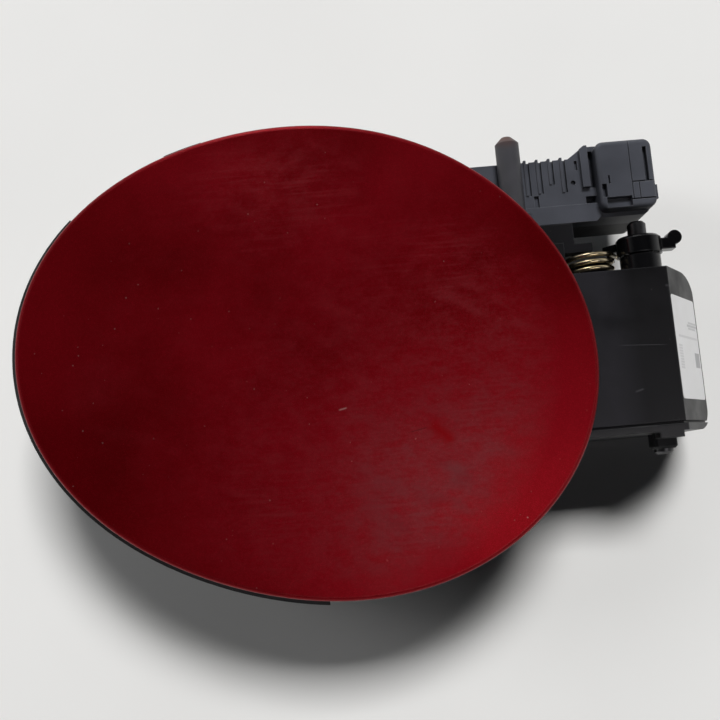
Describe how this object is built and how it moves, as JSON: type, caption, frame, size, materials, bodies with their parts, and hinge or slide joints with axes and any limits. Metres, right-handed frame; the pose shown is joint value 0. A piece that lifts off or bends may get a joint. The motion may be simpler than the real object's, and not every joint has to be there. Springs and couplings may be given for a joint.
{
  "type": "car fuel door",
  "caption": "Bowed oval fuel door on a swan-neck hinge with a spring crank, a hinge box and a motor-driven lock bolt.",
  "frame": {"origin": "midway between the two base screw holes, on the flat mounting face of the hinge box", "axes": "+X from the door towards the hinge, +Y along the hinge axis towards the lock actuator, +Z out of the car, away from the mounting face"},
  "size_m": [0.2189, 0.1459, 0.0647],
  "materials": {
    "door_paint": "painted moulded panel, dark red metallic",
    "carrier_plastic": "black moulded inner panel",
    "seal_rubber": "soft black lip",
    "screw_steel": "zinc-plated screws",
    "striker_plastic": "black moulded eye",
    "arm_plastic": "black glass-filled moulding",
    "pin_steel": "dark plated pin",
    "retainer_plastic": "black push-on nut",
    "collar_plastic": "smooth black moulding",
    "bush_plastic": "dark self-oiling bushes",
    "box_plastic": "black moulded housing with a satin sheen",
    "cap_plastic": "black moulded side cap",
    "stop_rubber": "black rubber buttons",
    "label_film": "white label with no words",
    "spring_wire": "golden chromated spring wire",
    "bracket_plastic": "black moulded shelf",
    "bracket_screw_steel": "zinc-plated screws",
    "case_screw_steel": "zinc-plated screws",
    "case_plastic": "dark moulded case",
    "cover_plastic": "dark blue-grey moulded cover",
    "terminal_brass": "tinned brass blades",
    "motor_steel": "plated motor can",
    "worm_brass": "turned brass",
    "gear_plastic": "natural acetal",
    "axle_steel": "ground pin",
    "bolt_plastic": "dark grey moulded bolt"
  },
  "bodies": {
    "base": {"hinge_box": "box_plastic", "hinge_cap": "cap_plastic", "hinge_bushes": "bush_plastic", "bump_stops": "stop_rubber", "paper_label": "label_film", "torsion_spring": "spring_wire", "actuator_bracket": "bracket_plastic", "bracket_screws": "bracket_screw_steel", "case_screws": "case_screw_steel", "lower_case": "case_plastic", "actuator_cover": "cover_plastic", "plug_terminals": "terminal_brass", "drive_motor": "motor_steel", "gear_axle": "axle_steel"},
    "door": {"door_skin": "door_paint", "door_carrier": "carrier_plastic", "edge_seal": "seal_rubber", "door_screws": "screw_steel", "lock_striker": "striker_plastic", "hinge_arm": "arm_plastic", "hinge_pin": "pin_steel", "pin_retainer": "retainer_plastic", "crank_collar": "collar_plastic"},
    "worm": {"motor_worm": "worm_brass"},
    "gear": {"drive_gear": "gear_plastic"},
    "bolt": {"lock_bolt": "bolt_plastic"}
  },
  "joints": [
    {"name": "door_hinge", "type": "hinge", "parent": "base", "child": "door", "pos_m": [-0.01332, 0, 0.04046], "axis": [0, 1, 0], "range_deg": [0, 92], "deforming": ["torsion_spring"]},
    {"name": "motor_spin", "type": "hinge", "parent": "base", "child": "worm", "pos_m": [-0.04582, 0.06315, 0.02166], "axis": [1, 0, 0], "range_deg": [0, 2521.1]},
    {"name": "gear_turn", "type": "hinge", "parent": "base", "child": "gear", "pos_m": [-0.04582, 0.05565, 0.025], "axis": [0, 0, 1], "range_deg": [0, 114.6]},
    {"name": "bolt_slide", "type": "slide", "parent": "base", "child": "bolt", "axis": [0, -1, 0], "range_m": [0, 0.008]}
  ],
  "couplings": [
    {"joint": "gear_turn", "follows": "bolt_slide", "rad_per_m": 250},
    {"joint": "motor_spin", "follows": "bolt_slide", "rad_per_m": 5500}
  ]
}
